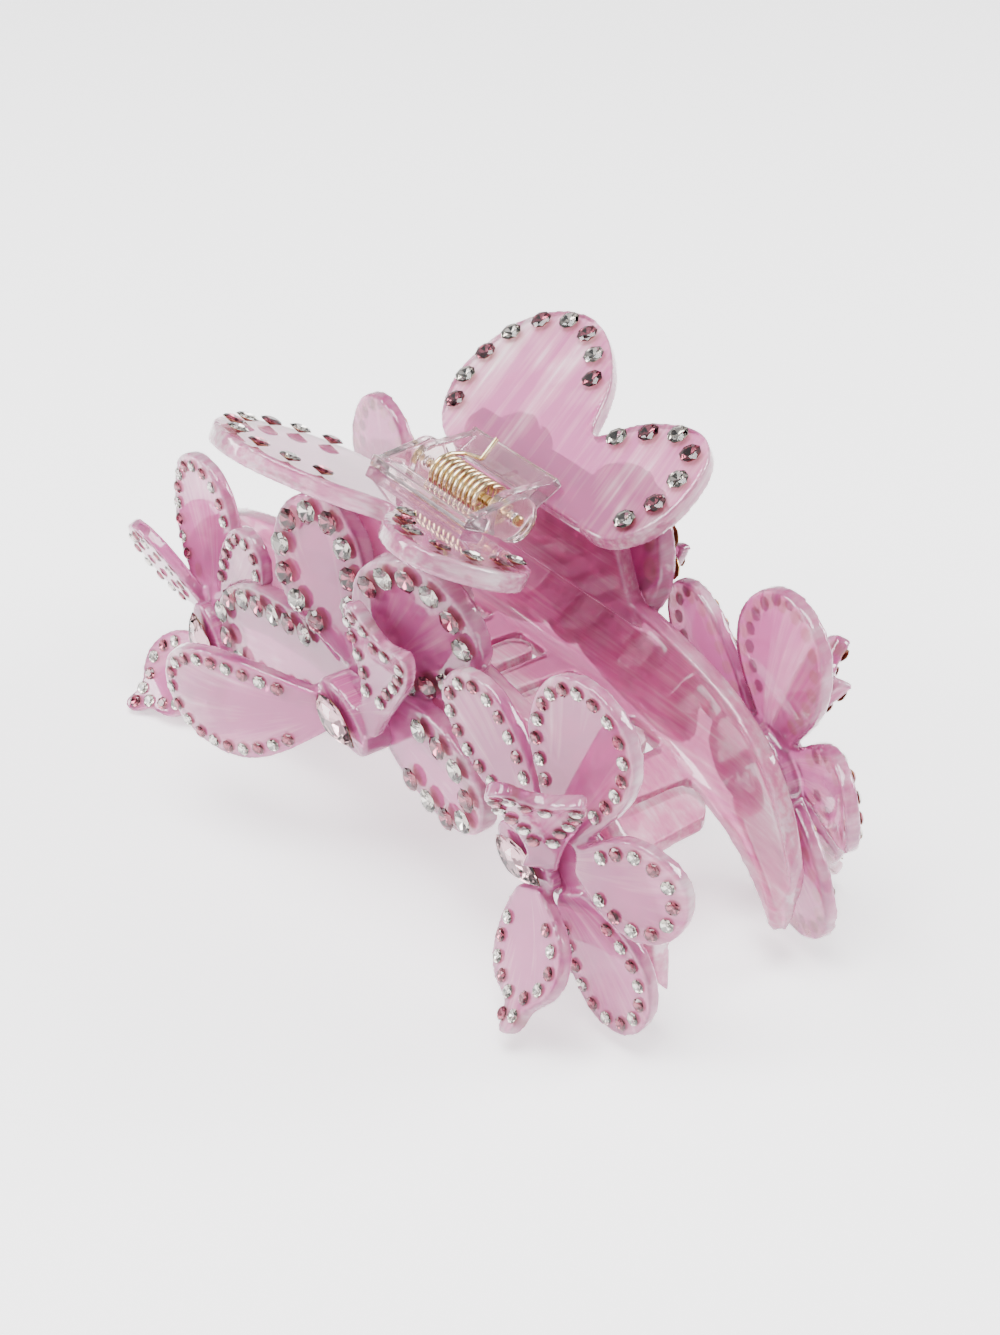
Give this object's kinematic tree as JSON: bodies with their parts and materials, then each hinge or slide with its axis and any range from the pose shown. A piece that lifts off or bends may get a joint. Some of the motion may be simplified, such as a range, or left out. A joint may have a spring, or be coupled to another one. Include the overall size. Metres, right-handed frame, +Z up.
{
  "type": "hair claw clip",
  "caption": "Large claw hair clip: two curved toothed jaws on a sprung hinge, butterfly-shaped squeeze handles, and stone-set butterflies on the jaws' outsides.",
  "frame": {"origin": "middle of the hinge pin", "axes": "+X along the hinge pin, +Y towards the rear jaw, +Z up from the teeth to the handles"},
  "size_m": [0.1334, 0.0782, 0.0709],
  "materials": {
    "jaw_acetate": "polished marbled cellulose acetate",
    "handle_acetate": "polished marbled cellulose acetate",
    "wing_acetate": "polished marbled cellulose acetate, thin and pale",
    "clear_plastic": "clear moulded plastic",
    "gold_plated_wire": "gold-plated spring steel wire",
    "gold_plated_pin": "gold-plated steel",
    "clear_crystal": "cut glass with a foiled back",
    "rose_crystal": "rose cut glass with a foiled back",
    "pink_navette": "pale pink cut glass with a foiled back"
  },
  "bodies": {
    "rear_half": {"hinge_pin": "gold_plated_pin", "rear_bracket": "clear_plastic", "rear_centre_butterfly": "wing_acetate", "rear_centre_butterfly_clear_stones": "clear_crystal", "rear_centre_butterfly_rose_stones": "rose_crystal", "rear_handle": "handle_acetate", "rear_handle_clear_stones": "clear_crystal", "rear_handle_rose_stones": "rose_crystal", "rear_jaw": "jaw_acetate", "rear_left_butterfly_base": "wing_acetate", "rear_left_butterfly_base_clear_stones": "clear_crystal", "rear_left_butterfly_base_rose_stones": "rose_crystal", "rear_left_butterfly_gem": "pink_navette", "rear_left_butterfly_top": "wing_acetate", "rear_left_butterfly_top_clear_stones": "clear_crystal", "rear_left_butterfly_top_rose_stones": "rose_crystal", "rear_right_butterfly_base": "wing_acetate", "rear_right_butterfly_base_clear_stones": "clear_crystal", "rear_right_butterfly_base_rose_stones": "rose_crystal", "rear_right_butterfly_gem": "pink_navette", "rear_right_butterfly_top": "wing_acetate", "rear_right_butterfly_top_clear_stones": "clear_crystal", "rear_right_butterfly_top_rose_stones": "rose_crystal", "rear_top_butterfly": "wing_acetate", "rear_top_butterfly_clear_stones": "clear_crystal", "rear_top_butterfly_gem": "pink_navette", "rear_top_butterfly_rose_stones": "rose_crystal", "torsion_spring": "gold_plated_wire"},
    "front_half": {"front_bracket": "clear_plastic", "front_centre_butterfly": "wing_acetate", "front_centre_butterfly_clear_stones": "clear_crystal", "front_centre_butterfly_rose_stones": "rose_crystal", "front_handle": "handle_acetate", "front_handle_clear_stones": "clear_crystal", "front_handle_rose_stones": "rose_crystal", "front_jaw": "jaw_acetate", "front_left_butterfly_base": "wing_acetate", "front_left_butterfly_base_clear_stones": "clear_crystal", "front_left_butterfly_base_rose_stones": "rose_crystal", "front_left_butterfly_gem": "pink_navette", "front_left_butterfly_top": "wing_acetate", "front_left_butterfly_top_clear_stones": "clear_crystal", "front_left_butterfly_top_rose_stones": "rose_crystal", "front_right_butterfly_base": "wing_acetate", "front_right_butterfly_base_clear_stones": "clear_crystal", "front_right_butterfly_base_rose_stones": "rose_crystal", "front_right_butterfly_gem": "pink_navette", "front_right_butterfly_top": "wing_acetate", "front_right_butterfly_top_clear_stones": "clear_crystal", "front_right_butterfly_top_rose_stones": "rose_crystal", "front_top_butterfly": "wing_acetate", "front_top_butterfly_clear_stones": "clear_crystal", "front_top_butterfly_gem": "pink_navette", "front_top_butterfly_rose_stones": "rose_crystal", "spring_front_leg": "gold_plated_wire"}
  },
  "joints": [
    {"name": "clip_opening", "type": "hinge", "parent": "rear_half", "child": "front_half", "pos_m": [0, 0, 0], "axis": [-1, 0, 0], "range_deg": [0, 50], "stiffness_Nm_per_rad": 0.2, "springref_deg": -34.38}
  ]
}
